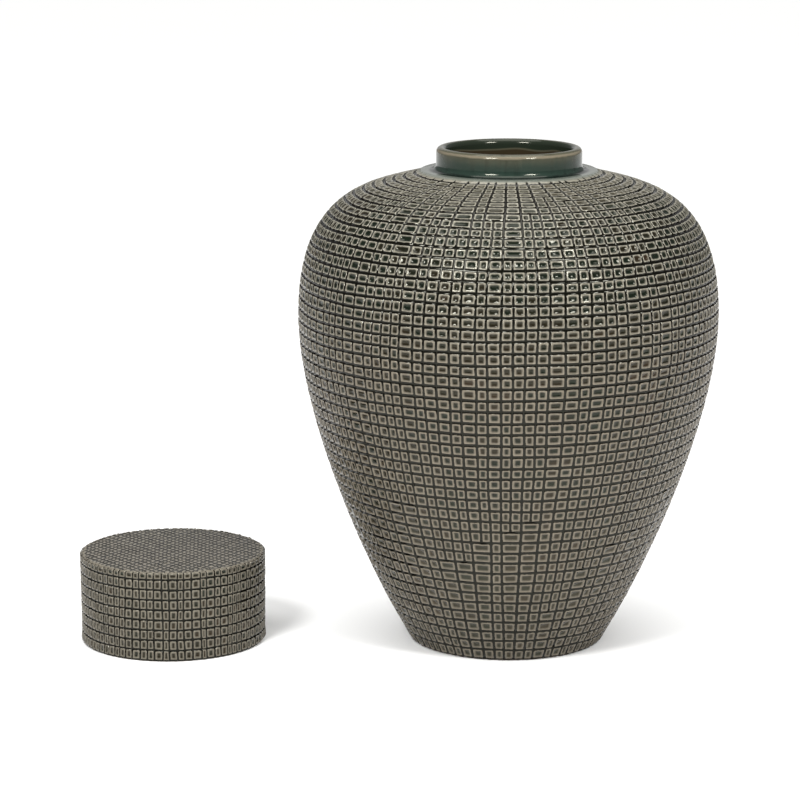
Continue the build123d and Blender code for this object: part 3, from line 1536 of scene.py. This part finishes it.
@dataclass
class Lid:
    """The cap lid: a straight tiled side, a top cut with crossing lines, and a smooth socket.

    Attributes:
        centre: where its middle stands on the floor.
        rim_edge: the height of the first level groove.
        top_edge: the radius and height of the top's edge.
        line_turns: the directions of the two sets of lines, in degrees.
        line_pitches: how far apart the lines of each set are.
        turn_stray: how far a line's direction strays, in degrees.
        line_stray: how far its place strays.
        least_gap: crossings closer than this become one.
        smooth_place: the value of the cut attribute where nothing is cut.
        worn_edge: the radius and height beyond which the top's edge is worn.
        worn_place: the least values of the cut attribute there.
    """

    centre: Ring
    height: float
    rim_radius: float = 67.5 * MM
    top_radius: float = 68.2 * MM
    socket_radius: float = 59.5 * MM
    socket_depth: float = 58.5 * MM
    socket_round: float = 6.0 * MM
    columns: int = 77
    rows: int = 8
    pitch: float = 7.5 * MM
    rim_edge: float = 0.9 * MM
    top_edge: Ring = (66.5 * MM, 65.7 * MM)
    line_turns: tuple[float, float] = (40.0, -31.0)
    line_pitches: tuple[float, float] = (4.7 * MM, 4.5 * MM)
    turn_stray: float = 1.0
    line_stray: float = 0.35 * MM
    least_gap: float = 0.9 * MM
    smooth_place: float = 0.25
    worn_edge: Ring = (65.0 * MM, 64.2 * MM)
    worn_place: Span = (0.18, 0.25)
    seed: int = 5

    def __post_init__(self) -> None:
        """Chooses the tools for the tiles."""
        self.cutter = TileCutter()
        self.fine_cutter = TileCutter(steps=(
            CutStep(0.80 * MM, 0.02 * MM, 0.12),
            CutStep(1.25 * MM, 0.45 * MM, 0.19),
            CutStep(0.90 * MM, 0.08 * MM, 0.24),
        ))
        self.wobble = HandWobble(sway=math.radians(0.7), twitch=math.radians(0.5), rise=0.25 * MM)

    def side_rings(self) -> list[Ring]:
        """Lists the rings of the side, at the depth of the grooves, and the edge of the top.

        Returns:
            Their radii and heights, from the rim up.
        """
        rings = []
        for row in range(self.rows + 1):
            height = self.rim_edge + row * self.pitch
            radius = self.rim_radius + (self.top_radius - self.rim_radius) * height / self.height
            rings.append((radius - self.cutter.depth_at(row), height))
        return rings + [self.top_edge]

    def socket_rings(self) -> list[Ring]:
        """Lists the rings from the rim's outer edge up into the socket.

        Returns:
            Their radii and heights, in that order.
        """
        corner = (self.socket_radius - self.socket_round, self.socket_depth - self.socket_round)
        return [
            self.side_rings()[0],
            (self.rim_radius - 0.9 * MM, 0.25 * MM),
            (self.rim_radius - 1.8 * MM, 0.0),
            (self.socket_radius + 1.2 * MM, 0.0),
            (self.socket_radius, 1.0 * MM),
            (self.socket_radius, 18 * MM),
            (self.socket_radius, 36 * MM),
            *arc(corner, self.socket_round, 0, 90, 6),
            (30 * MM, self.socket_depth),
            (5 * MM, self.socket_depth),
        ]

    def shell(self) -> Model:
        """Extrudes the closed shell.

        Returns:
            The model, with its side's faces and its grooves marked.
        """
        side = self.side_rings()
        model = Model("lid_cap", self.columns, side[0])
        model.grow(side, to_point=False)
        outside = len(model.mesh.polygons)
        model.grow(self.socket_rings())
        model.turn_outwards()
        model.put_in_order()
        for number, face in enumerate(model.mesh.polygons[outside:]):
            ring = number // self.columns
            bare_or_inside = Layer.CLAY if ring < 4 else Layer.INSIDE
            face.material_index = (Layer.GLAZE if ring == 0 else bare_or_inside).value
        grooved = self.columns * (self.rows + 1)
        model.numbers("row", Kind.WHOLE, Domain.FACE, lambda i: 0 if i < grooved else -1)
        model.numbers("cut", Kind.REAL, Domain.POINT, lambda i: 0.0 if i < grooved else self.smooth_place)
        return model

    def place_grooves(self, model: Model) -> None:
        """Moves the rings' points to where the grooves run.

        Args:
            model: the shell, with its points evenly spaced.
        """
        angles = Grooves(self.columns, random.Random(self.seed)).all_angles()
        for vertex, meridian in zip(model.mesh.vertices, model.meridians()):
            x, y, z = vertex.co
            radius = math.hypot(x, y)
            if radius < POLE:
                continue
            angle = angles[meridian]
            ring = vertex.index // self.columns
            if ring <= self.rows + 1:
                angle += self.wobble.angle(angle, z)
            if 0 < ring <= self.rows:
                z += self.wobble.height(angle, z)
            vertex.co = (radius * math.cos(angle), radius * math.sin(angle), z)

    def is_top(self, face: bpy.types.MeshPolygon) -> bool:
        """Says whether a face is part of the uncut top."""
        return face.normal.z > 0.99 and abs(face.center.z - self.top_edge[1]) < 0.1 * MM

    def cut_top(self, model: Model) -> int:
        """Cuts the top with two sets of crossing lines.

        Args:
            model: the lid, with its top as one face.

        Returns:
            How many tiles the top has.
        """
        rng = random.Random(self.seed + 2)
        reach, level = self.top_edge
        for turn, pitch in zip(self.line_turns, self.line_pitches):
            count = int(reach / pitch)
            for line in range(-count, count + 1):
                angle = math.radians(turn + rng.uniform(-self.turn_stray, self.turn_stray))
                normal = Vector((math.cos(angle), math.sin(angle), 0))
                offset = line * pitch + rng.uniform(-self.line_stray, self.line_stray)
                model.select(self.is_top)
                model.edit(Part.FACES)
                bpy.ops.mesh.bisect(plane_co=normal * offset, plane_no=normal, threshold=0.01 * MM)
                model.rest()
        model.clear_selection()
        for point in model.mesh.vertices:
            if abs(point.co.z - level) < 0.2 * MM:
                point.select = True
        model.edit(Part.POINTS)
        bpy.ops.mesh.remove_doubles(threshold=self.least_gap)
        model.rest()
        return self.fine_cutter.cut_scaled(model, self.is_top)

    def wear_edge(self, model: Model) -> None:
        """Marks the grooves that reach the top's edge as worn, so that the clay shows there.

        Args:
            model: the lid, with its tiles cut.
        """
        places = model.read("cut")
        rng = random.Random(self.seed + 3)
        least_radius, least_height = self.worn_edge

        def worn(index: int) -> float:
            """The place of a point, after wear."""
            x, y, z = model.mesh.vertices[index].co
            near = z > least_height and math.hypot(x, y) > least_radius
            return max(places[index], rng.uniform(*self.worn_place)) if near else places[index]

        model.numbers("cut", Kind.REAL, Domain.POINT, worn)

    def build(self, materials: Sequence[bpy.types.Material]) -> bpy.types.Object:
        """Models the lid and dresses it.

        Args:
            materials: its glaze, its inside and its bare clay.

        Returns:
            The finished piece.
        """
        model = self.shell()
        self.place_grooves(model)
        rows = model.read("row")
        last_row = self.columns * self.rows
        rng = random.Random(self.seed + 1)
        tiles = self.cutter.carve(model, lambda i: rows[i] == 0, rng, lambda i: i >= last_row)
        tiles += self.cut_top(model)
        self.wear_edge(model)
        model.edit()
        bpy.ops.mesh.select_all(action="SELECT")
        bpy.ops.transform.translate(value=(*self.centre, 0))
        model.rest()
        model.dress(materials)
        model.smooth()
        LOG.info("lid: %d tiles, %d faces", tiles, len(model.mesh.polygons))
        return model.piece


# ---------------------------------------------------------------- the studio


@dataclass(frozen=True)
class SoftBox:
    """A square soft light, placed round the jar and aimed at it.

    Attributes:
        name: the light's name.
        turn: degrees to the right of the camera's side.
        lift: degrees above the horizon.
        distance: metres from the jar's middle.
        width: its side in metres.
        watts: its power.
    """

    name: str
    turn: float
    lift: float
    distance: float
    width: float
    watts: float

    def build(self, target: Vector) -> None:
        """Adds the light.

        Args:
            target: the point that it is aimed at.
        """
        turn, lift = math.radians(self.turn), math.radians(self.lift)
        level = math.cos(lift)
        away = Vector((math.sin(turn) * level, -math.cos(turn) * level, math.sin(lift)))
        data = bpy.data.lights.new(self.name, "AREA")
        data.shape = "SQUARE"
        data.size = self.width
        data.energy = self.watts
        lamp = bpy.data.objects.new(self.name, data)
        bpy.context.scene.collection.objects.link(lamp)
        lamp.location = target + away * self.distance
        lamp.rotation_euler = (-away).to_track_quat("-Z", "Y").to_euler()
        lamp.visible_camera = False


@dataclass
class Studio:
    """The camera, the pale floor, the white surroundings and the lights.

    Attributes:
        camera_pitch: degrees below the horizon.
        lens: millimetres, on a sensor of the usual width.
        surroundings: the strength of the white all round.
        overhead: the strength of the wide light from above.
        overhead_spread: its spread, in degrees.
        middle: the height on the jar that the boxes are aimed at.
    """

    camera_place: tuple[float, float, float] = (-0.0785, -2.2198, 0.6333)
    camera_pitch: float = 11.61
    lens: float = 139.5
    sensor: float = 36.0
    floor_size: float = 40.0
    surroundings: float = 0.2
    overhead: float = 2.95
    overhead_spread: float = 60.0
    middle: float = 0.2
    boxes: tuple[SoftBox, ...] = (
        SoftBox("left_box", -33, 38, 1.7, 0.42, 25),
        SoftBox("right_box", 36, 38, 1.7, 0.40, 22),
        SoftBox("back_panel", 180, 24, 2.4, 1.6, 3),
    )

    def add_camera(self) -> None:
        """Adds the camera, with a long lens, and the plain view of colours."""
        scene = bpy.context.scene
        data = bpy.data.cameras.new("camera")
        data.lens = self.lens
        data.sensor_fit = "HORIZONTAL"
        data.sensor_width = self.sensor
        data.clip_start = 0.05
        camera = bpy.data.objects.new("camera", data)
        scene.collection.objects.link(camera)
        camera.location = self.camera_place
        camera.rotation_euler = (math.radians(90 - self.camera_pitch), 0, 0)
        scene.camera = camera
        scene.view_settings.view_transform = "Standard"

    def add_surroundings(self) -> None:
        """Makes everything round the floor an even white."""
        world = bpy.data.worlds.new("white_room")
        bpy.context.scene.world = world
        world.use_nodes = True
        backdrop = world.node_tree.nodes["Background"]
        backdrop.inputs["Color"].default_value = (1.0, 1.0, 1.0, 1.0)
        backdrop.inputs["Strength"].default_value = self.surroundings

    def add_floor(self) -> None:
        """Lays the floor."""
        deselect()
        bpy.ops.mesh.primitive_plane_add(size=self.floor_size)
        floor = bpy.context.object
        floor.name = "floor"
        floor.data.materials.append(PalePaper("pale_paper").build())

    def build(self) -> None:
        """Adds everything round the object."""
        self.add_camera()
        self.add_surroundings()
        self.add_floor()
        ceiling = bpy.data.lights.new("ceiling", "SUN")
        ceiling.energy = self.overhead
        ceiling.angle = math.radians(self.overhead_spread)
        bpy.context.scene.collection.objects.link(bpy.data.objects.new("ceiling", ceiling))
        for box in self.boxes:
            box.build(Vector((0, 0, self.middle)))
        LOG.info("studio: floor, camera and %d lights", len(self.boxes) + 1)


def attach(piece: bpy.types.Object, body: str, node: str) -> None:
    """Makes a piece ride on a body, in place of its solid.

    Args:
        piece: the finished piece.
        body: the body it moves with.
        node: the solid that it stands for.
    """
    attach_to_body(piece, body)
    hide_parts(node)


def main() -> None:
    """Builds the studio, the jar and the lid, and reports each piece."""
    logging.basicConfig(level=logging.INFO, format="%(message)s")
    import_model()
    Studio().build()

    inside = InnerGlaze("inner_glaze").build()
    clay = BareClay("bare_clay").build()
    jar = Jar().build((JarGlaze("jar_glaze").build(), inside, clay))
    attach(jar, "jar", "jar")

    low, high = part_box("lid")
    centre = ((low.x + high.x) / 2, (low.y + high.y) / 2)
    lid_glaze = TileGlaze("lid_glaze", edge=srgb(95, 90, 80)).build()
    lid = Lid(centre=centre, height=high.z - low.z).build((lid_glaze, inside, clay))
    attach(lid, "lid", "lid")


if __name__ == "__main__":
    main()
